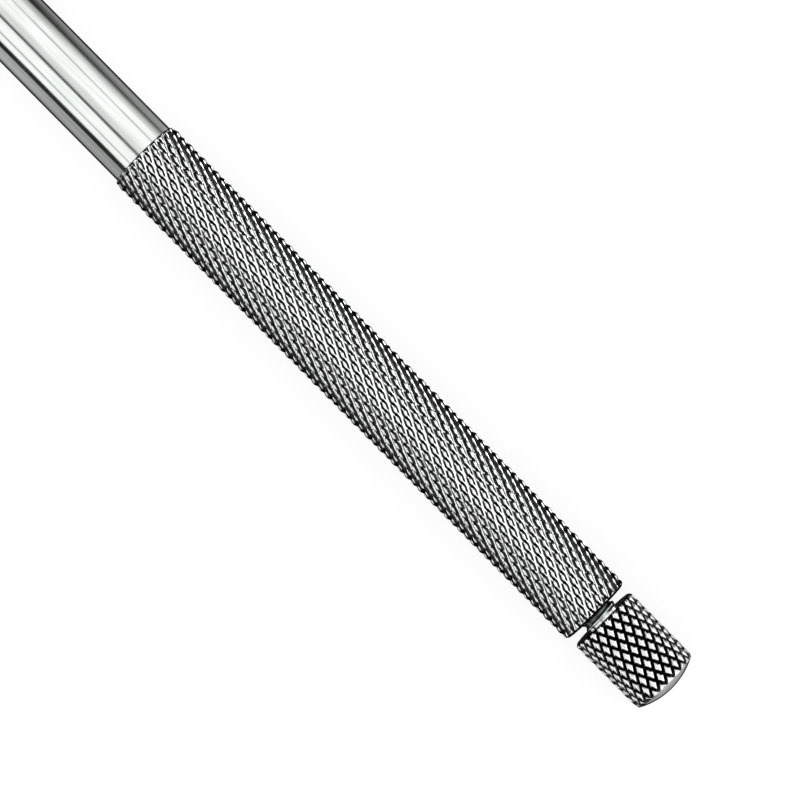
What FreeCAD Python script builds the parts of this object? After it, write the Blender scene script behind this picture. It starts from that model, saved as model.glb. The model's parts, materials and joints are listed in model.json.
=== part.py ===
"""Pocket scriber: a knurled steel handle with a collet chuck, a needle that slides back into the
handle, and a screwed butt cap that carries the spare needle.

The tool lies along X with its point towards +X and its butt towards -X, and +Z is up. The origin
is on the tool's axis, at the middle of the smooth shaft. Sizes are in millimetres and live in the
spreadsheet "Sizes". Each piece is a PartDesign body turned about X and placed along it. The chuck
pieces share one local origin, at the front face of the barrel.
"""

import FreeCAD
import Part
import Sketcher
import math
import os

App = FreeCAD
H_AXIS, V_AXIS, ORIGIN = -1, -2, -1

SIZES = [
    ("shaft_dia", 8.0, "smooth shaft of the barrel"),
    ("shaft_length", 28.0, "smooth shaft, from the knurl to the front face"),
    ("grip_dia", 8.8, "crests of the knurled grip"),
    ("grip_length", 69.5, "knurled grip"),
    ("edge", 0.3, "chamfer on turned edges"),
    ("pitch", 0.75, "pitch of both screw threads"),
    ("flank", math.tan(math.radians(30)), "slope of a thread flank and of the nut's inner cone"),
    ("allowance", 0.1, "radial allowance taken off each male thread"),
    ("male_depth", 0.46, "depth of a male thread"),
    ("male_root", 0.12, "flat at the root of a male thread"),
    ("female_depth", 0.406, "nominal radius less the bore of a female thread"),
    ("female_root", 0.07, "flat at the root of a female thread"),
    ("root_room", 0.02, "female root beyond the nominal radius"),
    ("cut_over", 0.05, "how far a thread groove reaches past the surface it is cut from"),
    ("cap_thread", 4.5, "nominal size of the butt cap's thread"),
    ("cap_thread_depth", 10.5, "tapped depth in the butt"),
    ("mouth_room", 0.05, "radial room round the stud in the mouth of the butt"),
    ("mouth_depth", 1.2, "depth of that mouth, which clears the first turn of the stud"),
    ("nut_thread", 6.0, "nominal size of the chuck nut's thread"),
    ("nut_thread_end", 7.8, "end of the thread inside the nut"),
    ("nut_relief", 0.8, "width of the thread relief inside the nut"),
    ("spigot_dia", 6.0, "spigot hole in the barrel"),
    ("spigot_length", 10.0, "length of the chuck body's spigot"),
    ("bond_gap", 0.01, "radial room for the bond or braze between fixed pieces"),
    ("collar_dia", 7.6, "collar of the chuck body"),
    ("collar_length", 1.2, "length of that collar"),
    ("collar_flats", 6.6, "across the two spanner flats"),
    ("relief", 1.35, "width of the thread relief on the chuck body"),
    ("relief_step", 0.04, "how far a relief lies below the root of its thread"),
    ("body_nose", 8.2, "front face of the chuck body"),
    ("chamber_dia", 3.1, "spring chamber in the chuck body"),
    ("chamber_floor", 2.0, "floor of that chamber, behind the barrel's face"),
    ("mouth_dia", 4.1, "mouth of the tapered collet seat"),
    ("seat_length", 3.56, "length of that seat"),
    ("seat_gap", 0.012, "radial gap on the gripping tapers"),
    ("needle_dia", 2.0, "needle shank"),
    ("needle_length", 50.0, "needle, tail to point"),
    ("needle_out", 30.0, "needle showing in front of the nut"),
    ("needle_taper", 9.0, "tapered length of the needle shank"),
    ("neck_dia", 1.3, "small end of that taper"),
    ("tip_dia", 0.9, "carbide rod"),
    ("tip_socket", 3.0, "carbide held inside the shank"),
    ("tip_straight", 0.7, "carbide showing before its cone"),
    ("tip_cone", 1.9, "ground cone of the carbide"),
    ("guide_gap", 0.03, "radial clearance of the needle in its guide"),
    ("grip_gap", 0.012, "radial gap between collet and needle"),
    ("spare_gap", 0.02, "radial clearance of the spare needle in the stud"),
    ("tail_face", 1.7, "tail face of the collet"),
    ("tail_dia", 3.0, "tail of the collet"),
    ("tail_ring", 1.3, "unslit length at the collet's tail"),
    ("rim_dia", 4.5, "rim of the collet"),
    ("rim_back", 8.7, "back of that rim"),
    ("rim_front", 9.3, "front of that rim"),
    ("collet_nose", 10.6, "front face of the collet"),
    ("slit", 0.35, "width of the collet's slits"),
    ("nut_back", 1.8, "back face of the chuck nut"),
    ("nut_nose", 14.5, "front face of the chuck nut"),
    ("nut_dia", 7.8, "crests of the nut's knurl"),
    ("nut_knurl_end", 8.9, "front of the nut's knurl"),
    ("nut_groove", 0.35, "depth of the groove in front of that knurl"),
    ("nut_nose_dia", 4.2, "small end of the nut's nose"),
    ("exit_dia", 2.6, "hole the needle leaves by"),
    ("wire_dia", 0.3, "spring wire"),
    ("coil_dia", 2.6, "mean diameter of the spring"),
    ("coil_turns", 5.0, "turns of the spring"),
    ("cap_dia", 8.3, "crests of the butt cap's knurl"),
    ("cap_length", 9.6, "knob of the cap, up to its domed end"),
    ("dome_step", 0.2, "chamfer round the foot of the dome"),
    ("dome_height", 0.8, "height of the dome"),
    ("stud_length", 9.0, "stud, from the cap's shoulder"),
    ("stud_relief", 0.12, "relief under the cap's shoulder"),
    ("stud_hole", 6.5, "depth of the spare needle's socket"),
    ("turns_open", 1.5, "turns the cap stands unscrewed at rest"),
]

doc = App.newDocument("Scriber")
sheet = doc.addObject("Spreadsheet::Sheet", "Sizes")
for row, (alias, value, note) in enumerate(SIZES, start=1):
    sheet.set(f"A{row}", note)
    sheet.set(f"B{row}", str(value))
    sheet.setAlias(f"B{row}", alias)
doc.recompute()


def size(text):
    """An expression on the sheet: every word in it is an alias."""
    aliases = {alias for alias, _, _ in SIZES}
    words = text.replace("(", "( ").replace(")", " )").split()
    return " ".join(f"Sizes.{word}" if word in aliases else word for word in words)


def origin_item(body, role):
    """The origin plane or axis of a body, found by its role."""
    return next(item for item in body.Origin.OriginFeatures if item.Role == role)


def new_sketch(body, name, plane):
    sketch = body.newObject("Sketcher::SketchObject", name)
    sketch.AttachmentSupport = [(origin_item(body, plane), "")]
    sketch.MapMode = "FlatFace"
    return sketch


def tie(sketch, kind, expression, *where):
    """A dimension of the sketch that follows the sheet."""
    index = sketch.addConstraint(Sketcher.Constraint(kind, *where, 1.0))
    sketch.setExpression(f"Constraints[{index}]", size(expression))


def tie_point(sketch, line, end, along, away):
    """Places one end of a line: along the tool's axis, and away from it."""
    for kind, axis, expression in (("DistanceX", V_AXIS, along), ("DistanceY", H_AXIS, away)):
        if expression == "0":
            sketch.addConstraint(Sketcher.Constraint("PointOnObject", line, end, axis))
        else:
            tie(sketch, kind, expression, ORIGIN, 1, line, end)


def outline(body, name, points, plane="XZ_Plane", domed=False):
    """A closed outline through points given as pairs of expressions.

    When domed, the last side is an arc centred on the tool's axis instead of a line.
    """
    sketch = new_sketch(body, name, plane)
    count = len(points)
    corners = [App.Vector(i, 1 + i % 2, 0) for i in range(count)]
    lines = count - 1 if domed else count
    for i in range(lines):
        sketch.addGeometry(Part.LineSegment(corners[i], corners[(i + 1) % count]))
    for i in range(1, count):
        if i < lines:
            sketch.addConstraint(Sketcher.Constraint("Coincident", i - 1, 2, i, 1))
    for i, (along, away) in enumerate(points):
        line, end = (i, 1) if i < lines else (i - 1, 2)
        tie_point(sketch, line, end, along, away)
    if domed:
        doc.recompute()
        add_dome(sketch, lines)
    else:
        sketch.addConstraint(Sketcher.Constraint("Coincident", count - 1, 2, 0, 1))
    doc.recompute()
    return sketch


def add_dome(sketch, lines):
    """Closes an outline with an arc that starts on the tool's axis and is centred on it."""
    apex = sketch.Geometry[0].StartPoint
    foot = sketch.Geometry[lines - 1].EndPoint
    centre = (foot.x ** 2 + foot.y ** 2 - apex.x ** 2) / 2 / (foot.x - apex.x)
    circle = Part.Circle(App.Vector(centre, 0, 0), App.Vector(0, 0, 1), centre - apex.x)
    start = math.atan2(foot.y, foot.x - centre)
    sketch.addGeometry(Part.ArcOfCircle(circle, start, math.pi))
    sketch.addConstraint(Sketcher.Constraint("Coincident", lines, 1, lines - 1, 2))
    sketch.addConstraint(Sketcher.Constraint("Coincident", lines, 2, 0, 1))
    sketch.addConstraint(Sketcher.Constraint("PointOnObject", lines, 3, H_AXIS))


def turned(label, points, domed=False):
    """A body with its blank: the half outline revolved about the tool's axis."""
    body = doc.addObject("PartDesign::Body", label)
    body.Label = label
    sketch = outline(body, f"{label}_outline", points, plane="XY_Plane", domed=domed)
    blank = body.newObject("PartDesign::Revolution", f"{label}_blank")
    blank.Profile = sketch
    blank.ReferenceAxis = (sketch, ["H_Axis"])
    blank.Angle = 360
    doc.recompute()
    return body


def helix(body, kind, sketch, pitch, length):
    """A right-hand helical feature about the tool's axis that runs towards +X."""
    before = 0.0 if body.Shape.isNull() else body.Shape.Volume
    made = body.newObject(f"PartDesign::{kind}", f"{body.Label}_helix")
    made.Profile = sketch
    made.ReferenceAxis = (sketch, ["H_Axis"])
    made.Mode = 0
    made.setExpression("Pitch", size(pitch))
    made.setExpression("Height", size(length))
    made.LeftHanded = False
    made.Reversed = False
    doc.recompute()
    changed = made.Shape.Volume - before
    if changed * (1 if kind == "AdditiveHelix" else -1) <= 0:
        raise RuntimeError(f"the helix of {body.Label} changed nothing")


def cut_thread(body, start, length, surface, root, flat, outside):
    """A V thread whose groove starts at start, cut from the surface radius to the root radius.

    The groove is drawn a little past the surface, outwards on a male thread and inwards on a
    female one, and each flank leans by the flank slope.
    """
    sign = "+" if outside else "-"
    across = f"{surface} {sign} cut_over"
    height = f"( {across} ) - ( {root} )" if outside else f"( {root} ) - ( {across} )"
    wide = f"( {flat} ) / 2 + ( {height} ) * flank"
    points = [
        (f"{start} - ( {wide} )", across),
        (f"{start} - ( {flat} ) / 2", root),
        (f"{start} + ( {flat} ) / 2", root),
        (f"{start} + ( {wide} )", across),
    ]
    sketch = outline(body, f"{body.Label}_groove", points)
    helix(body, "SubtractiveHelix", sketch, "pitch", length)


def cut_male_thread(body, start, length, nominal):
    surface = f"{nominal} / 2 - allowance"
    cut_thread(body, start, length, surface, f"{surface} - male_depth", "male_root", True)


def cut_female_thread(body, start, length, nominal):
    surface = f"{nominal} / 2 - female_depth"
    cut_thread(body, start, length, surface, f"{nominal} / 2 + root_room", "female_root", False)


def pocket_through(body, name, corners):
    """A pocket cut right through the body, both ways from the plane its outline is drawn on."""
    before = body.Shape.Volume
    sketch = outline(body, name, corners, plane="XY_Plane")
    cut = body.newObject("PartDesign::Pocket", f"{name}_cut")
    cut.Profile = sketch
    cut.Type = "ThroughAll"
    cut.Midplane = True
    doc.recompute()
    if cut.Shape.Volume >= before:
        raise RuntimeError(f"{name} cut nothing")
    return cut


def repeat_about_axis(body, cut, count, angle):
    """Repeats a cut round the tool's axis."""
    pattern = body.newObject("PartDesign::PolarPattern", f"{cut.Name}_pattern")
    pattern.Originals = [cut]
    pattern.Axis = (origin_item(body, "X_Axis"), [""])
    pattern.Angle = angle
    pattern.Occurrences = count
    body.Tip = pattern
    doc.recompute()


def place(body, expression):
    """Moves a body along the tool's axis."""
    body.setExpression("Placement.Base.x", size(expression))
    doc.recompute()


FRONT = "shaft_length / 2"
BUTT = "- shaft_length / 2 - grip_length"


def make_barrel():
    """Handle turned from bar: bored through, tapped for the cap, counterbored for the chuck."""
    bore = "cap_thread / 2 - female_depth"
    counterbore = f"{FRONT} - spigot_length - 2 * edge"
    rise = "( grip_dia - shaft_dia ) / 2"
    points = [
        (FRONT, "spigot_dia / 2"),
        (FRONT, "shaft_dia / 2 - edge"),
        (f"{FRONT} - edge", "shaft_dia / 2"),
        ("- shaft_length / 2", "shaft_dia / 2"),
        (f"- shaft_length / 2 - {rise}", "grip_dia / 2"),
        (f"{BUTT} + edge", "grip_dia / 2"),
        (BUTT, "grip_dia / 2 - edge"),
        (BUTT, "cap_thread / 2 + mouth_room"),
        (f"{BUTT} + mouth_depth", "cap_thread / 2 + mouth_room"),
        (f"{BUTT} + mouth_depth", bore),
        (counterbore, bore),
        (counterbore, "spigot_dia / 2"),
    ]
    body = turned("handle_barrel", points)
    cut_female_thread(body, f"{BUTT} - pitch", "cap_thread_depth + pitch", "cap_thread")
    return body


def make_chuck_body():
    """Seat of the collet: a spigot bonded in the barrel, a collar with flats, and a male thread."""
    spigot = "spigot_dia / 2 - bond_gap"
    male = "nut_thread / 2 - allowance"
    guide = "needle_dia / 2 + guide_gap"
    points = [
        ("- spigot_length", guide),
        ("- spigot_length", f"{spigot} - edge"),
        ("- spigot_length + edge", spigot),
        ("0", spigot),
        ("0", "collar_dia / 2"),
        ("collar_length", "collar_dia / 2"),
        ("collar_length", f"{male} - male_depth - relief_step"),
        ("collar_length + relief", f"{male} - male_depth - relief_step"),
        ("collar_length + relief", male),
        ("body_nose - edge", male),
        ("body_nose", f"{male} - edge"),
        ("body_nose", "mouth_dia / 2"),
        ("body_nose - seat_length", "chamber_dia / 2"),
        ("- chamber_floor", "chamber_dia / 2"),
        ("- chamber_floor", guide),
    ]
    body = turned("chuck_body", points)
    start = "nut_back + pitch / 2"
    cut_male_thread(body, start, f"body_nose - ( {start} ) + pitch", "nut_thread")
    flat = pocket_through(body, "spanner_flat", [
        ("0", "collar_flats / 2"),
        ("0", "collar_dia"),
        ("collar_length", "collar_dia"),
        ("collar_length", "collar_flats / 2"),
    ])
    repeat_about_axis(body, flat, 2, 360)
    place(body, FRONT)
    return body


def make_collet():
    """Four-jaw collet: a taper that seats in the chuck body and a cone that the nut pushes on."""
    bore = "needle_dia / 2 + grip_gap"
    seat = "body_nose - seat_length"
    slope = "( mouth_dia - chamber_dia ) / 2 / seat_length"
    points = [
        ("tail_face", bore),
        ("tail_face", "tail_dia / 2"),
        (seat, "tail_dia / 2"),
        (seat, "chamber_dia / 2 - seat_gap"),
        ("rim_back", f"chamber_dia / 2 - seat_gap + ( rim_back - ( {seat} ) ) * {slope}"),
        ("rim_back", "rim_dia / 2"),
        ("rim_front", "rim_dia / 2"),
        ("collet_nose", "rim_dia / 2 - ( collet_nose - rim_front ) * flank"),
        ("collet_nose", bore),
    ]
    body = turned("collet", points)
    slit = pocket_through(body, "slit", [
        ("tail_face + tail_ring", "- slit / 2"),
        ("tail_face + tail_ring", "slit / 2"),
        ("collet_nose + 1", "slit / 2"),
        ("collet_nose + 1", "- slit / 2"),
    ])
    repeat_about_axis(body, slit, 4, 360)
    place(body, FRONT)
    return body


def make_collet_spring():
    """Coil spring behind the collet, which lifts it off its seat as the nut is slackened."""
    body = doc.addObject("PartDesign::Body", "collet_spring")
    start = "wire_dia * 0.6 - chamber_floor"
    sketch = new_sketch(body, "wire", "XZ_Plane")
    sketch.addGeometry(Part.Circle(App.Vector(0, 1, 0), App.Vector(0, 0, 1), 0.1))
    tie(sketch, "Diameter", "wire_dia", 0)
    tie_point(sketch, 0, 3, start, "coil_dia / 2")
    length = f"tail_face - wire_dia * 0.6 - ( {start} )"
    helix(body, "AdditiveHelix", sketch, f"( {length} ) / coil_turns", length)
    place(body, FRONT)
    return body


def make_chuck_nut():
    """Knurled nut with an inner cone that drives the collet into its seat."""
    bore = "nut_thread / 2 - female_depth"
    cone = "rim_dia / 2 + seat_gap"
    points = [
        ("nut_back", bore),
        ("nut_back", "nut_dia / 2 - edge"),
        ("nut_back + edge", "nut_dia / 2"),
        ("nut_knurl_end", "nut_dia / 2"),
        ("nut_knurl_end", "nut_dia / 2 - nut_groove"),
        ("nut_knurl_end + nut_groove", "nut_dia / 2 - nut_groove"),
        ("nut_nose - edge", "nut_nose_dia / 2"),
        ("nut_nose", "nut_nose_dia / 2 - edge"),
        ("nut_nose", "exit_dia / 2"),
        (f"rim_front + ( {cone} - exit_dia / 2 ) / flank", "exit_dia / 2"),
        (f"rim_front + ( {cone} - ( {bore} ) ) / flank", bore),
        ("nut_thread_end + nut_relief", bore),
        ("nut_thread_end + nut_relief", "nut_thread / 2 + root_room + relief_step"),
        ("nut_thread_end", "nut_thread / 2 + root_room + relief_step"),
        ("nut_thread_end", bore),
    ]
    body = turned("chuck_nut", points)
    length = "nut_thread_end - nut_back + 1.5 * pitch"
    cut_female_thread(body, "nut_back - pitch", length, "nut_thread")
    place(body, FRONT)
    return body


def make_needle(prefix, tail):
    """A needle shank with its brazed carbide tip, tail at the given place."""
    shank_end = "needle_length - tip_straight - tip_cone"
    socket = f"{shank_end} - tip_socket"
    shank = turned(f"{prefix}_shank", [
        ("0", "0"),
        (socket, "0"),
        (socket, "tip_dia / 2 + bond_gap"),
        (shank_end, "tip_dia / 2 + bond_gap"),
        (shank_end, "neck_dia / 2"),
        (f"{shank_end} - needle_taper", "needle_dia / 2"),
        ("edge", "needle_dia / 2"),
        ("0", "needle_dia / 2 - edge"),
    ])
    tip = turned(f"{prefix}_tip", [
        (f"{socket} + bond_gap", "0"),
        ("needle_length", "0"),
        ("needle_length - tip_cone", "tip_dia / 2"),
        (f"{socket} + bond_gap", "tip_dia / 2"),
    ])
    for body in (shank, tip):
        place(body, tail)
    return [shank, tip]


def make_end_cap():
    """Knurled butt cap with a domed end and a hollow threaded stud that holds the spare needle."""
    stud = "cap_thread / 2 - allowance"
    hole = "needle_dia / 2 + spare_gap"
    points = [
        ("- cap_length - dome_step - dome_height", "0"),
        ("stud_length - stud_hole", "0"),
        ("stud_length - stud_hole", hole),
        ("stud_length", hole),
        ("stud_length", f"{stud} - edge"),
        ("stud_length - edge", stud),
        ("stud_relief", stud),
        ("stud_relief", f"{stud} - male_depth - relief_step"),
        ("0", f"{stud} - male_depth - relief_step"),
        ("0", "cap_dia / 2 - edge"),
        ("- edge", "cap_dia / 2"),
        ("- cap_length", "cap_dia / 2"),
        ("- cap_length - dome_step", "cap_dia / 2 - edge"),
    ]
    body = turned("end_cap", points, domed=True)
    cut_male_thread(body, "( turns_open - 0.5 ) * pitch", "stud_length", "cap_thread")
    place(body, f"{BUTT} - turns_open * pitch")
    return body


def check(bodies):
    """Stops if any object failed to compute or any piece isn't a valid solid."""
    for item in doc.Objects:
        if "Invalid" in item.State or "Error" in item.State:
            raise RuntimeError(f"{item.Label} failed: {item.State}")
    for body in bodies:
        shape = body.Shape
        if shape.isNull() or not shape.isValid() or len(shape.Solids) != 1:
            raise RuntimeError(f"{body.Label} isn't one valid solid")


barrel = make_barrel()
bodies = [barrel, make_chuck_body(), make_collet(), make_collet_spring(), make_chuck_nut()]
bodies += make_needle("needle", f"{FRONT} + nut_nose + needle_out - needle_length")
bodies += make_needle(
    "spare_needle", f"{BUTT} - turns_open * pitch + stud_length - stud_hole + bond_gap"
)
bodies.append(make_end_cap())
doc.recompute()
check(bodies)
os.makedirs("parts", exist_ok=True)
for body in bodies:
    body.Shape.exportStep(f"parts/{body.Label}.step")
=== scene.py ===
"""Visual model of the pocket scriber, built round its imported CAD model.

The handle, cap, nut and needle are rebuilt with their real relief: diamond knurls, screw threads,
and turned and ground edges. The chuck body and the pieces inside keep their CAD shapes and get
finishes. Everything is in metres, in the tool's own frame: X runs along the tool towards the
point, and angles round the tool start at +Z and turn by the right-hand rule about +X.
"""
import json
import math

import bmesh
import bpy
import numpy as np
from mathutils import Matrix, Vector


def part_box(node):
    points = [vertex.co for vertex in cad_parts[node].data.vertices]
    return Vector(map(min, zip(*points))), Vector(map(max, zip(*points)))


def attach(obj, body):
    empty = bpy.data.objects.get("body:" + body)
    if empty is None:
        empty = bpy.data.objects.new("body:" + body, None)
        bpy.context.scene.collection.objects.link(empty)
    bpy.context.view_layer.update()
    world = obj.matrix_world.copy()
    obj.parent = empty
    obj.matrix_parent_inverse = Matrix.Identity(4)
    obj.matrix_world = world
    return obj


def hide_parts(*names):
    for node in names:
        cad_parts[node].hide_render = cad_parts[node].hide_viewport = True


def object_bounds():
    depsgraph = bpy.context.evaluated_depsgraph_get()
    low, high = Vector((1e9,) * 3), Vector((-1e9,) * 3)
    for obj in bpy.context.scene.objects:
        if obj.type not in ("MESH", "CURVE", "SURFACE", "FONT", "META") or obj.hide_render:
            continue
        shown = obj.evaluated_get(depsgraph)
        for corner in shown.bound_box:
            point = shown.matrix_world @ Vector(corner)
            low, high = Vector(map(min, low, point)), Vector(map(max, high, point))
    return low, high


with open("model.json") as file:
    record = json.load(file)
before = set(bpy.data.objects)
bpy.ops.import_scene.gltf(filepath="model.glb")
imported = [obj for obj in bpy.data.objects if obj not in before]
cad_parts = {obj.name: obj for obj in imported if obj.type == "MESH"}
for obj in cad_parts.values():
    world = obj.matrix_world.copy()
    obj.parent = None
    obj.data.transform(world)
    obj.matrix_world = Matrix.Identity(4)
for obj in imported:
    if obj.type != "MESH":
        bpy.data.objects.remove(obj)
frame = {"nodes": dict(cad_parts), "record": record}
CAD_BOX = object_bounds()

MM = 0.001
MOUNTS = {mount["name"]: mount for mount in frame["record"]["mounts"]}
SHAFT_R = MOUNTS["shaft"]["dims"]["r_mm"] * MM
GRIP_R = MOUNTS["grip"]["dims"]["r_mm"] * MM
EDGE = 0.3 * MM                 # chamfer on turned edges

KNURL_REPEAT = 2.04 * MM        # one diamond along the tool
KNURL_STEPS = 10                # rings and columns to a diamond
KNURL_LEAN = 0.016              # drift of the rows round the tool, per length along it
END_STEP = 0.25                 # spacing of the rings beside the ends of a knurl, in whole rings
RIM = 0.36 * MM                 # radial depth of the chamfer on a knurled end
RIM_SLOPE = 1.2                 # how steeply that chamfer falls
RIM_BAND = 0.16 * MM            # length of the chamfer that carries no knurl

PITCH = 0.75 * MM               # every screw thread
FLANK = math.tan(math.radians(30))
MALE_FLAT = 0.12 * MM           # flat at the root of a male thread
FEMALE_FLAT = 0.07 * MM         # flat at the root of a female thread
SHALLOWEST = 0.2                # share of its depth with which a thread runs out

SHARP = math.radians(34)        # shading breaks where faces meet at more than this
WELD = 1e-4 * MM                # points closer than this are one
PLAIN, KNURLED, THREADED = range(3)     # material slots of the turned pieces


# ---------------------------------------------------------------- turned meshes

def plain(*points):
    """Rings at (x, radius) points."""
    return [(x, radius, None, PLAIN, 0.0) for x, radius in points]


def slit(share):
    """Depth of a sharp groove at whole numbers, with broad crests between."""
    return np.abs(2 * (share % 1) - 1) ** 2.6


def vee(share):
    """Depth of a sharp groove at whole numbers, with narrow crests between."""
    return np.abs(2 * (share % 1) - 1) ** 1.8


def trough(share):
    """Depth of a groove with a rounded floor at whole numbers."""
    return ((1 + np.cos(2 * math.pi * share)) / 2) ** 1.1


def knurl(
    start, end, start_r, end_r, crest, count, right_cut, left_cut, run_in=RIM_SLOPE, band=RIM_BAND
):
    """Rings of a diamond knurl between two chamfered ends, with count diamonds round the tool.

    right_cut and left_cut give the profile and the depth of the grooves of either hand. run_in
    is the slope of the chamfer at the start, and band the length left plain at the end.
    """
    rings = round(abs(end - start) / KNURL_REPEAT * KNURL_STEPS)
    first_rows = np.arange(0, 2, END_STEP)
    last_rows = np.arange(rings - 2, rings + END_STEP, END_STEP)
    rows = np.unique(np.r_[first_rows, 2:rings - 1, last_rows])
    hand = 1 if end > start else -1
    column = np.arange(count * KNURL_STEPS + 1)

    def grooves(row, place):
        right = right_cut[0]((row - hand * place) / KNURL_STEPS) * right_cut[1]
        left = left_cut[0]((row + hand * place) / KNURL_STEPS) * left_cut[1]
        return right, left

    made = []
    for row, following in zip(rows, np.append(rows[1:], rings + 1)):
        x = start + (end - start) * row / rings
        radius = crest - np.maximum(*grooves(row, column))
        radius = np.minimum(radius, start_r + abs(x - start) * run_in)
        rim = end_r + abs(x - end) * RIM_SLOPE
        radius = np.minimum(radius, rim)
        if abs(x - end) < band:
            radius = np.maximum(radius, rim)
        right, left = grooves((row + following) / 2, column[:-1] + 0.5)
        along = (left > right) if hand > 0 else (right > left)
        finish = (along, KNURLED) if row < rings else (None, PLAIN)
        made.append((x, radius, *finish, (x - start) * KNURL_LEAN / crest))
    return made


def thread(start, end, groove, surface, root, flat, segments, run_out=0.0):
    """Rings of a right-hand V thread, with a groove centred on groove at angle 0.

    Over run_out from its start the thread grows to its full depth.
    """
    turn = np.linspace(0, 1, segments + 1)
    slope = math.copysign(1 / FLANK, surface - root)
    half = flat / 2 + abs(surface - root) * FLANK
    low, high = min(start, end), max(start, end)

    def radius(x):
        away = np.abs((x - groove - turn * PITCH + PITCH / 2) % PITCH - PITCH / 2)
        lean = root + slope * np.maximum(away - flat / 2, 0)
        if run_out:
            share = np.clip(abs(x - start) / run_out, SHALLOWEST, 1)
            lean = np.maximum(lean, surface + (root - surface) * share)
        return np.minimum(lean, surface) if surface > root else np.maximum(lean, surface)

    first = math.floor((low - groove) / PITCH) - 2
    last = math.ceil((high - groove) / PITCH) + 1
    rows = [
        groove + lap * PITCH + offset
        for lap in range(first, last + 1)
        for offset in (-half, -flat / 2, flat / 2, half)
    ]
    made = []
    for row in rows if end > start else rows[::-1]:
        x = np.clip(row + turn * PITCH, low, high)
        made.append((x, radius(x), None, THREADED, 0.0))
    beyond = made.pop()         # what follows the last ring is plain
    return made + [beyond[:3] + (PLAIN, 0.0)]


def skin(name, rings, segments, closed_loop):
    """A closed mesh through rings about the X axis. closed_loop joins the last ring to the first.

    A ring has its x, its radius, how each of its quads splits, its material and its own turn.
    """
    turn = np.linspace(0, 2 * math.pi, segments + 1)
    points = []
    for x, radius, _, _, lean in rings:
        x = np.broadcast_to(x, turn.shape)
        angle = turn + lean
        points.append(np.stack([x, -radius * np.sin(angle), radius * np.cos(angle)], axis=1))
    points = np.concatenate(points)
    faces = []
    finishes = []
    count = len(rings)
    for i in range(count if closed_loop else count - 1):
        near = i * (segments + 1)
        far = (i + 1) % count * (segments + 1)
        split, finish = rings[i][2:4]
        for j in range(segments):
            a, b, c, d = near + j, far + j, far + j + 1, near + j + 1
            if split is None:
                faces.append((a, b, c, d))
            elif split[j]:
                faces += [(a, b, d), (b, c, d)]
            else:
                faces += [(a, b, c), (a, c, d)]
        finishes += [finish] * (len(faces) - len(finishes))
    mesh = bpy.data.meshes.new(name)
    mesh.from_pydata(points.tolist(), [], faces)
    mesh.polygons.foreach_set("material_index", finishes)
    work = bmesh.new()
    work.from_mesh(mesh)
    bmesh.ops.remove_doubles(work, verts=work.verts, dist=WELD)
    bmesh.ops.recalc_face_normals(work, faces=work.faces)
    work.to_mesh(mesh)
    work.free()
    mesh.shade_smooth()
    mesh.set_sharp_from_angle(angle=SHARP)
    piece = bpy.data.objects.new(name, mesh)
    bpy.context.scene.collection.objects.link(piece)
    return piece


def stand_for(piece, node, *materials):
    """The piece takes the place and the body of a CAD node, and gets the given materials."""
    members = frame["record"]["behaviour"]["bodies"]
    body = next(name for name, nodes in members.items() if node in nodes)
    for material in materials:
        piece.data.materials.append(material)
    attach(piece, body)
    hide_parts(node)


# ---------------------------------------------------------------- pieces

# Profile and depth of the right-hand and the left-hand grooves.
GRIP_CUTS = (trough, 0.33 * MM), (vee, 0.29 * MM)
FINE_CUTS = (slit, 0.4 * MM), (slit, 0.38 * MM)


def make_handle(*materials):
    """Knurled handle: smooth shaft, knurled grip, and the bore from end to end."""
    low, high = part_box("handle_barrel")
    butt, front = low.x, high.x
    shoulder = -front       # the origin is at the middle of the shaft
    spigot_r, spigot_length = 3.0 * MM, 10.6 * MM
    mouth_r, mouth_depth = 2.3 * MM, 1.2 * MM
    bore, root, tapped = 1.844 * MM, 2.27 * MM, 9.2 * MM
    count = 24
    segments = count * KNURL_STEPS
    rings = plain(
        (front, spigot_r), (front, SHAFT_R - EDGE), (front - EDGE / 2, SHAFT_R - EDGE / 4),
        (front - EDGE, SHAFT_R), (front - 2 * EDGE, SHAFT_R),
        (shoulder + EDGE, SHAFT_R), (shoulder, SHAFT_R),
    )
    rings += knurl(shoulder, butt, SHAFT_R, GRIP_R - RIM, GRIP_R, count, *GRIP_CUTS, band=EDGE)
    mouth = butt + mouth_depth
    rings += plain((butt, mouth_r), (mouth, mouth_r))
    rings += thread(mouth, butt + tapped, butt, bore, root, FEMALE_FLAT, segments)
    rings += plain((butt + tapped, bore), (front - spigot_length, bore))
    rings += plain((front - spigot_length, spigot_r))
    stand_for(skin("handle_knurled", rings, segments, True), "handle_barrel", *materials)


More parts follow.
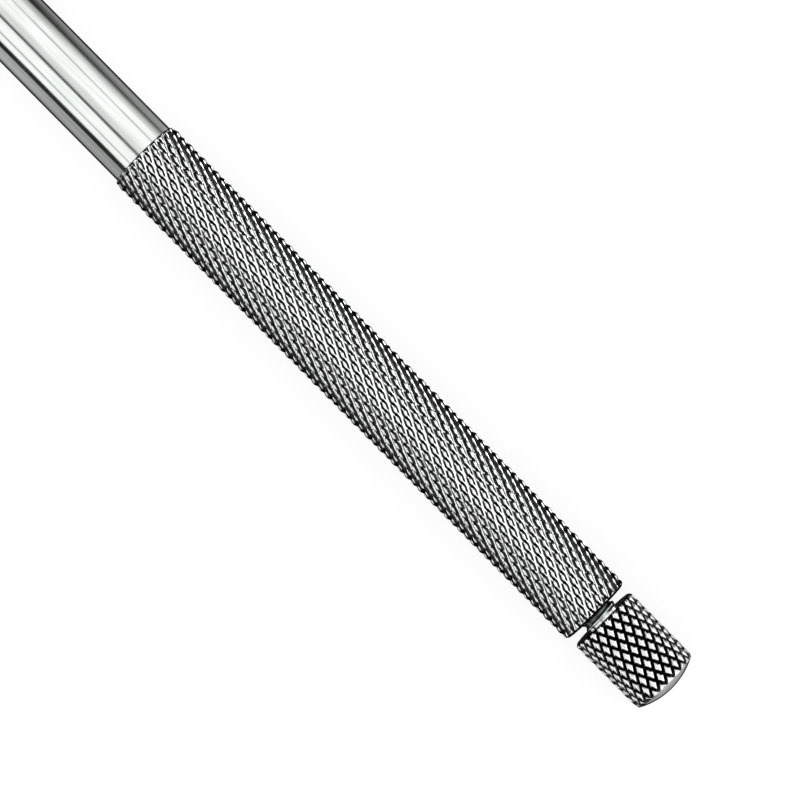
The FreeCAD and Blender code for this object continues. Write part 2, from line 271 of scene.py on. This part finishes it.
def make_cap(*materials):
    """Knurled cap with a domed end, on a hollow threaded stud."""
    low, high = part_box("end_cap")
    cap_r = high.y
    stud_length, knob_length = 9.0 * MM, 9.6 * MM
    shoulder = high.x - stud_length
    knob_end = shoulder - knob_length
    foot_r, rim_r = cap_r - 0.2 * MM, cap_r - 0.27 * MM
    foot_slope = 0.45
    stud, root, hole = 2.15 * MM, 1.69 * MM, 1.02 * MM
    relief, relief_length = stud - 0.1 * MM, 0.12 * MM
    run_out = 0.95 * MM
    hole_depth = 6.5 * MM
    count = 22
    segments = count * KNURL_STEPS
    rise = knob_end - low.x
    dome_r = (foot_r ** 2 + rise ** 2) / 2 / rise
    dome_shares = np.linspace(0.08, 1, 14)
    rings = plain((low.x, 0.0))
    for share in dome_shares:
        away = foot_r * share
        drop = dome_r - math.sqrt(dome_r ** 2 - away ** 2)
        rings += plain((low.x + drop, away))
    rings += knurl(
        knob_end, shoulder, foot_r, rim_r, cap_r, count, *FINE_CUTS, run_in=foot_slope
    )
    thread_start = shoulder + relief_length
    thread_end = high.x - EDGE
    rings += plain((shoulder, relief), (thread_start, relief))
    rings += thread(thread_start, thread_end, shoulder, stud, root, MALE_FLAT, segments, run_out)
    rings += plain((thread_end, root), (high.x, root), (high.x, hole))
    rings += plain((high.x - hole_depth, hole), (high.x - hole_depth, 0.0))
    stand_for(skin("cap_knurled", rings, segments, False), "end_cap", *materials)


def make_nut(*materials):
    """Knurled chuck nut: thread and cone inside, groove and tapered nose outside."""
    low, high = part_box("chuck_nut")
    back, nose = low.x, high.x
    nut_r = high.y
    knurl_end = back + 7.1 * MM
    groove = 0.35 * MM
    waist_r, nose_r, exit_r = nut_r - groove, 2.1 * MM, 1.3 * MM
    bore, root = 2.594 * MM, 3.02 * MM
    mouth_r = bore + 0.45 * MM
    thread_end = back + 6.0 * MM
    relief_end, relief = thread_end + 0.8 * MM, 3.06 * MM
    cone_start = back + 6.925 * MM
    cone_end = cone_start + (bore - exit_r) / FLANK
    count = 22
    segments = count * KNURL_STEPS
    rings = plain((back, mouth_r))
    rings += knurl(back, knurl_end, nut_r - RIM, nut_r - RIM, nut_r, count, *FINE_CUTS)
    rings += plain((knurl_end, waist_r), (knurl_end + groove, waist_r))
    for share in np.linspace(0, 1, 9):
        x = knurl_end + groove + (nose - EDGE - knurl_end - groove) * share
        rings += plain((x, waist_r + (nose_r - waist_r) * share))
    rings += plain((nose - EDGE / 3, nose_r - EDGE / 3), (nose, nose_r - EDGE), (nose, exit_r))
    rings += plain((cone_end, exit_r), (cone_start, bore), (relief_end, bore))
    rings += plain((relief_end, relief), (thread_end, relief))
    rings += thread(thread_end, back, back, bore, root, FEMALE_FLAT, segments)
    stand_for(skin("nut_knurled", rings, segments, True), "chuck_nut", *materials)


def make_needle(material, tip_material):
    """Ground needle shank, tapered towards the front, and its brazed carbide point."""
    shank_low, shank_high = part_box("needle_shank")
    tip_low, tip_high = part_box("needle_tip")
    tail, end, needle_r = shank_low.x, shank_high.x, shank_high.y
    tip_r = tip_high.y
    braze = 0.01 * MM
    socket, socket_r = tip_low.x - braze, tip_r + braze
    taper, neck_r = 9.0 * MM, 0.65 * MM
    lip, lip_drop = 0.05 * MM, 0.04 * MM
    segments = 64
    shank = plain((tail, 0.0), (tail, needle_r - EDGE), (tail + EDGE, needle_r))
    shank += plain((end - taper, needle_r), (end - lip, neck_r), (end, neck_r - lip_drop))
    shank += plain((end, socket_r), (socket, socket_r), (socket, 0.0))
    stand_for(skin("needle_ground", shank, segments, False), "needle_shank", material)
    cone, blunt = 1.9 * MM, 0.02 * MM
    point = plain((tip_low.x, 0.0), (tip_low.x, tip_r), (tip_high.x - cone, tip_r))
    point += plain((tip_high.x - blunt * cone / tip_r, blunt), (tip_high.x - blunt / 2, blunt / 2))
    point += plain((tip_high.x, 0.0))
    stand_for(skin("point_ground", point, segments, False), "needle_tip", tip_material)


# ---------------------------------------------------------------- shader nodes

def link(tree, kind, inputs=None, **settings):
    """Adds a shader node. An input is a number, a colour or another node's output."""
    node = tree.nodes.new(kind)
    for key, value in settings.items():
        setattr(node, key, value)
    for key, value in (inputs or {}).items():
        if isinstance(value, bpy.types.NodeSocket):
            tree.links.new(value, node.inputs[key])
        else:
            node.inputs[key].default_value = value
    return node


def number(tree, operation, *inputs):
    """The result of a sum on single numbers."""
    node = link(tree, "ShaderNodeMath", dict(enumerate(inputs)), operation=operation)
    return node.outputs[0]


def vector(tree, operation, *inputs):
    """The result of a sum on vectors or colours."""
    node = link(tree, "ShaderNodeVectorMath", dict(enumerate(inputs)), operation=operation)
    return node.outputs["Value" if operation in ("LENGTH", "DOT_PRODUCT") else "Vector"]


def scaled(tree, colour, scale):
    """A vector or colour times a number."""
    inputs = {0: colour, "Scale": scale}
    return link(tree, "ShaderNodeVectorMath", inputs, operation="SCALE").outputs["Vector"]


def mapped(tree, value, low, high, bottom=0.0, top=1.0):
    """The value carried from the span low to high onto bottom to top, and held at the ends."""
    return link(tree, "ShaderNodeMapRange", {
        "Value": value, "From Min": low, "From Max": high, "To Min": bottom, "To Max": top,
    }).outputs[0]


def grey(level):
    """A colour of equal parts."""
    return (level, level, level, 1.0)


def ramp(tree, value, *stops):
    """A grey ramp through (place, level) stops, which holds its first and last level outside."""
    node = link(tree, "ShaderNodeValToRGB", {"Fac": value})
    elements = node.color_ramp.elements
    elements[0].color = grey(stops[0][1])
    elements[-1].color = grey(stops[-1][1])
    for place, level in stops:
        if 0 < place < 1:
            elements.new(place).color = grey(level)
    return node.outputs["Color"]


def emptied(holder):
    """The node tree of a material or world, with nothing in it."""
    holder.use_nodes = True
    holder.node_tree.nodes.clear()
    return holder.node_tree


# ---------------------------------------------------------------- finishes

DRAWN_GRAIN = (180, 2600, 2600)     # streaks to a metre: long along the tool, fine round it
CLOUD_GRAIN = 420.0                 # patches of wear to a metre
TURNED_GRAIN = 14000.0              # turning lines to a metre
NOISE = (0.3, 0.7)                  # where most values of a noise lie
POLISHED, DULL = 0.8, 1.3           # span of the roughness over those patches
STREAK_TONE = 0.84                  # brightness left in the darkest streaks


def painted_wall_shade(tree, place, wall_shade, walls):
    """Full brightness on crests and floors, and painted shade darkening the steep walls of the
    grooves.

    walls gives the slopes, as cosines, at which the painted shade is full and at which it ends.
    """
    across = {"Y": place.outputs["Y"], "Z": place.outputs["Z"]}
    outward = vector(tree, "NORMALIZE", link(tree, "ShaderNodeCombineXYZ", across).outputs[0])
    facing = link(tree, "ShaderNodeTexCoord").outputs["Normal"]
    slope = vector(tree, "DOT_PRODUCT", facing, outward)
    return ramp(tree, slope, (walls[0], wall_shade), (walls[1], 1.0))


def metal(name, colour, rough, streak, lines=0.0, wall_shade=None, walls=(0.78, 0.9)):
    """A metal with drawn streaks and turning lines of the given depths.

    The painted shade leaves the steep walls of its grooves with the given share of its brightness.
    """
    material = bpy.data.materials.new(name)
    tree = emptied(material)
    point = link(tree, "ShaderNodeTexCoord").outputs["Object"]
    place = link(tree, "ShaderNodeSeparateXYZ", {0: point})
    drawn = link(tree, "ShaderNodeMapping", {"Vector": point, "Scale": DRAWN_GRAIN}).outputs[0]
    streaks = link(
        tree, "ShaderNodeTexNoise", {"Vector": drawn, "Scale": 1.0, "Detail": 3.0}
    ).outputs[0]
    clouds = link(
        tree, "ShaderNodeTexNoise", {"Vector": point, "Scale": CLOUD_GRAIN, "Detail": 4.0}
    ).outputs[0]
    roughness = mapped(tree, clouds, *NOISE, rough * POLISHED, rough * DULL)
    tone = mapped(tree, streaks, *NOISE, STREAK_TONE, 1.0)
    # Painted shade: the steep walls of the grooves are darkened in the base colour.
    if wall_shade is not None:
        tone = number(tree, "MULTIPLY", tone, painted_wall_shade(tree, place, wall_shade, walls))
    bump = link(
        tree, "ShaderNodeBump", {"Height": streaks, "Strength": 1.0, "Distance": streak}
    ).outputs[0]
    if lines:
        turned = link(
            tree, "ShaderNodeTexNoise",
            {"W": place.outputs["X"], "Scale": TURNED_GRAIN, "Detail": 2.0},
            noise_dimensions="1D",
        ).outputs[0]
        bump = link(
            tree, "ShaderNodeBump",
            {"Height": turned, "Strength": 1.0, "Distance": lines, "Normal": bump},
        ).outputs[0]
    shader = link(tree, "ShaderNodeBsdfPrincipled", {
        "Base Color": scaled(tree, colour, tone), "Metallic": 1.0,
        "Roughness": roughness, "Normal": bump,
    })
    link(tree, "ShaderNodeOutputMaterial", {"Surface": shader.outputs[0]})
    return material


# ---------------------------------------------------------------- studio

BETWEEN = 0.6       # light between the corners of the studio, which every strength makes up for
SOFT_BOX = 1.35     # level of the soft boxes
CREASE = 0.4        # level of the thin gap inside each

# What the metal mirrors round the tool: degrees from straight up, positive towards +Y, and level.
STUDIO = [
    (-180, 1.0), (-110, 1.0), (-93, 0.45), (-80, 0.8),
    (-66, SOFT_BOX), (-51, SOFT_BOX), (-48, CREASE), (-45, SOFT_BOX), (-16, SOFT_BOX),
    (-4, 1.0), (7, 0.95), (12, 0.1), (16, 0.1), (20, 1.3),
    (47, SOFT_BOX), (51, CREASE), (55, SOFT_BOX), (70, 1.3),
    (74, 0.02), (89, 0.02), (96, 0.3), (110, 1.0), (180, 1.0),
]

# Stretches of the floor, first and last mm along the tool, where what the metal mirrors changes.
PAST_CAP = (-103, -100.5)
CAP_END = (-97, -94)
BUTT = (-86, -83)
SHOULDER = (-15, -13)

FLOOR_GAP = 0.05 * MM       # room between the tool and the floor
SHADOW_REACH = 40 * MM      # the mirrored floor changes up to this distance from the tool
KNURL_SHADOW = 0.7          # share of its distance at which a place beside the knurls counts
END_STRETCH = 3.0           # multiple of its distance at which a place past the ends counts
KNURL_LIGHT = 2.5           # light on the mirrored floor beside the knurls, against the shaft's
DOME_LIGHT = 1.75           # light on it past the cap's dome
STRIP_REACH = -50 * MM      # a dark strip lies on the -Y side within this distance
SIDE_REACH = -5 * MM        # the -Y side of the grip has its extra light in full from here on
SIDE_LIGHT = 2.4            # that extra light, as a share of what is there


def corners(tree, way, tilt, reach):
    """Light from two opposite corners of the studio and dark in the other two.

    tilt moves the corners towards +Y, and a small reach brings them close to the middle.
    """
    across = number(tree, "SUBTRACT", way.outputs["Y"], tilt)
    corner = mapped(tree, number(tree, "MULTIPLY", way.outputs["X"], across), -reach, reach)
    return ramp(
        tree, corner, (0.0, 0.0), (0.26, 0.02), (0.35, BETWEEN), (0.65, BETWEEN), (0.74, 1.0)
    )


def make_world():
    """A bright studio with soft boxes along the tool and dark gaps, seen only in the metal."""
    world = bpy.data.worlds.new("studio")
    bpy.context.scene.world = world
    tree = emptied(world)
    seen = link(tree, "ShaderNodeTexCoord").outputs["Generated"]
    way = link(tree, "ShaderNodeSeparateXYZ", {0: seen})
    lean = number(tree, "ARCTAN2", way.outputs["Y"], way.outputs["Z"])
    boxes = ramp(
        tree, mapped(tree, lean, -math.pi, math.pi),
        *[(0.5 + degrees / 360, level) for degrees, level in STUDIO],
    )
    side = mapped(tree, way.outputs["Y"], -1.0, 1.0)
    sheen = ramp(tree, side, (0.12, 0.0), (0.18, BETWEEN), (0.38, BETWEEN), (0.44, 0.0))
    lit = vector(tree, "MAXIMUM", corners(tree, way, tilt=0.4, reach=0.5), sheen)
    lit = vector(tree, "MULTIPLY", boxes, lit)
    in_metal = link(tree, "ShaderNodeBackground", {"Color": lit, "Strength": 1 / BETWEEN})
    around = link(tree, "ShaderNodeBackground", {"Color": grey(0.95), "Strength": 1.0})
    mirrored = link(tree, "ShaderNodeLightPath").outputs["Is Glossy Ray"]
    mixed = link(
        tree, "ShaderNodeMixShader", {0: mirrored, 1: around.outputs[0], 2: in_metal.outputs[0]}
    ).outputs[0]
    link(tree, "ShaderNodeOutputWorld", {"Surface": mixed})


def lengthwise(tree, x, *stops):
    """A grey ramp along the tool, of (mm, level) stops."""
    first, last = -110, -10
    places = [((place - first) / (last - first), level) for place, level in stops]
    return ramp(tree, mapped(tree, x, first * MM, last * MM), *places)


def mirrored_floor(tree):
    """The floor as the metal sees it: dark close to the tool and paler further off."""
    place = link(tree, "ShaderNodeNewGeometry").outputs["Position"]
    apart = link(tree, "ShaderNodeSeparateXYZ", {0: place})
    x, y = apart.outputs["X"], apart.outputs["Y"]

    middle = (CAD_BOX[0].x + CAD_BOX[1].x) / 2
    off_middle = number(tree, "ABSOLUTE", number(tree, "SUBTRACT", x, middle))
    past_end = number(tree, "SUBTRACT", off_middle, CAD_BOX[1].x - middle)
    past_end = number(tree, "MAXIMUM", past_end, 0.0)
    stretched = number(tree, "MULTIPLY", past_end, END_STRETCH)
    flat = link(tree, "ShaderNodeCombineXYZ", {"X": stretched, "Y": y}).outputs[0]
    closer = lengthwise(
        tree, x, (CAP_END[0], 1.0), (CAP_END[1], KNURL_SHADOW),
        (SHOULDER[0], KNURL_SHADOW), (SHOULDER[1], 1.0),
    )
    away = number(tree, "MULTIPLY", vector(tree, "LENGTH", flat), closer)
    shadow = ramp(
        tree, mapped(tree, away, 0.0, SHADOW_REACH),
        (0.0, 0.0), (0.18, 0.01), (0.22, 0.33), (0.3, 0.42), (0.7, 0.35), (1.0, 0.33),
    )

    strip = ramp(
        tree, mapped(tree, y, STRIP_REACH, 0.0), (0.0, 1.0), (0.12, 0.1), (0.3, 0.1), (0.4, 1.0)
    )
    level = vector(tree, "MULTIPLY", shadow, strip)
    boost = lengthwise(
        tree, x, (PAST_CAP[0], DOME_LIGHT), (PAST_CAP[1], 1.0), (CAP_END[0], 1.0),
        (CAP_END[1], KNURL_LIGHT), (SHOULDER[0], KNURL_LIGHT), (SHOULDER[1], 1.0),
    )
    level = vector(tree, "MULTIPLY", level, boost)
    beside_grip = lengthwise(
        tree, x, (BUTT[0], 0.0), (BUTT[1], 1.0), (SHOULDER[0], 1.0), (SHOULDER[1], 0.0)
    )
    one_side = mapped(tree, y, 0.0, SIDE_REACH, 0.0, SIDE_LIGHT)
    level = scaled(tree, level, number(tree, "MULTIPLY_ADD", one_side, beside_grip, 1.0))

    incoming = link(tree, "ShaderNodeNewGeometry").outputs["Incoming"]
    way = link(tree, "ShaderNodeSeparateXYZ", {0: scaled(tree, incoming, -1.0)})
    level = vector(tree, "MULTIPLY", level, corners(tree, way, tilt=0.0, reach=0.25))
    glow = link(tree, "ShaderNodeEmission", {"Color": level, "Strength": 1 / BETWEEN})
    return glow.outputs[0]


def make_floor():
    """Plain pale floor just under the tool. It shows darker in the metal, and not from below."""
    size = 3.0
    level = CAD_BOX[0].z - FLOOR_GAP
    outline = [(x * size, y * size, level) for x, y in ((-1, -1), (1, -1), (1, 1), (-1, 1))]
    mesh = bpy.data.meshes.new("floor")
    mesh.from_pydata(outline, [], [(0, 1, 2, 3)])
    floor = bpy.data.objects.new("floor", mesh)
    bpy.context.scene.collection.objects.link(floor)
    material = bpy.data.materials.new("floor_paper")
    tree = emptied(material)
    paper = link(tree, "ShaderNodeBsdfDiffuse", {"Color": grey(0.2)})
    glow = link(tree, "ShaderNodeEmission", {"Color": grey(1.0), "Strength": 0.85})
    pale = link(tree, "ShaderNodeAddShader", {0: paper.outputs[0], 1: glow.outputs[0]}).outputs[0]
    mirrored = link(tree, "ShaderNodeLightPath").outputs["Is Glossy Ray"]
    above = link(
        tree, "ShaderNodeMixShader", {0: mirrored, 1: pale, 2: mirrored_floor(tree)}
    ).outputs[0]
    clear = link(tree, "ShaderNodeBsdfTransparent").outputs[0]
    below = link(tree, "ShaderNodeNewGeometry").outputs["Backfacing"]
    shown = link(tree, "ShaderNodeMixShader", {0: below, 1: above, 2: clear}).outputs[0]
    link(tree, "ShaderNodeOutputMaterial", {"Surface": shown})
    mesh.materials.append(material)


def make_camera():
    """Looks straight down on the rear of the tool, whose point leads off to the upper left."""
    camera = bpy.data.cameras.new("camera")
    camera.lens = 200.0
    camera.sensor_width = 36.0
    across = 86.5 * MM
    distance = across / camera.sensor_width * camera.lens
    centre = Vector((-52.4 * MM, -1.05 * MM, distance))
    spin = math.radians(134.67)
    right = Vector((math.cos(spin), -math.sin(spin), 0))
    up = Vector((math.sin(spin), math.cos(spin), 0))
    turn = Matrix((right, up, Vector((0, 0, 1)))).transposed()
    eye = bpy.data.objects.new("camera", camera)
    eye.matrix_world = Matrix.Translation(centre) @ turn.to_4x4()
    bpy.context.scene.collection.objects.link(eye)
    bpy.context.scene.camera = eye


def set_look():
    """Plain colours, with no film curve."""
    settings = bpy.context.scene.view_settings
    settings.view_transform = "Standard"
    settings.look = "None"


# ---------------------------------------------------------------- the scene

NICKEL = (0.745, 0.78, 0.755)
HIGHLIGHT_NICKEL = (0.88, 0.91, 0.89)          # nickel painted brighter on the knurls, as a painted highlight
GROUND_STEEL = (0.66, 0.67, 0.67)
TOOL_STEEL = (0.46, 0.46, 0.47)
SPRING_STEEL = (0.36, 0.36, 0.38)
CARBIDE = (0.30, 0.30, 0.32)
COARSE, FINE, FAINT = 0.003 * MM, 0.001 * MM, 0.0005 * MM      # depths of streaks and lines

nickel = metal("nickel", NICKEL, 0.1, COARSE)
# The knurls take a brighter nickel as a painted highlight, and knurls and threads take painted
# shade on their groove walls.
threaded = metal("nickel_thread", NICKEL, 0.2, FINE, wall_shade=0.2)
grip_knurl = metal("nickel_grip", HIGHLIGHT_NICKEL, 0.12, FINE, wall_shade=0.02, walls=(0.82, 0.9))
fine_knurl = metal("nickel_knurl", HIGHLIGHT_NICKEL, 0.16, FINE, wall_shade=0.02, walls=(0.68, 0.8))
steel = metal("needle_steel", GROUND_STEEL, 0.18, FINE, lines=FAINT)
carbide = metal("carbide", CARBIDE, 0.32, FINE, lines=FINE)
make_handle(nickel, grip_knurl, threaded)
make_cap(nickel, fine_knurl, threaded)
make_nut(nickel, fine_knurl, threaded)
make_needle(steel, carbide)

CARRIED_OVER = {
    "chuck_body": metal("nickel_body", NICKEL, 0.22, FINE, lines=FINE),
    "collet": metal("tool_steel", TOOL_STEEL, 0.3, FINE, lines=FINE),
    "collet_spring": metal("spring_steel", SPRING_STEEL, 0.3, FINE),
    "spare_needle_shank": steel,
    "spare_needle_tip": carbide,
}
for node_name, finish in CARRIED_OVER.items():
    slots = frame["nodes"][node_name].data.materials
    slots.clear()
    slots.append(finish)

make_world()
make_floor()
make_camera()
set_look()
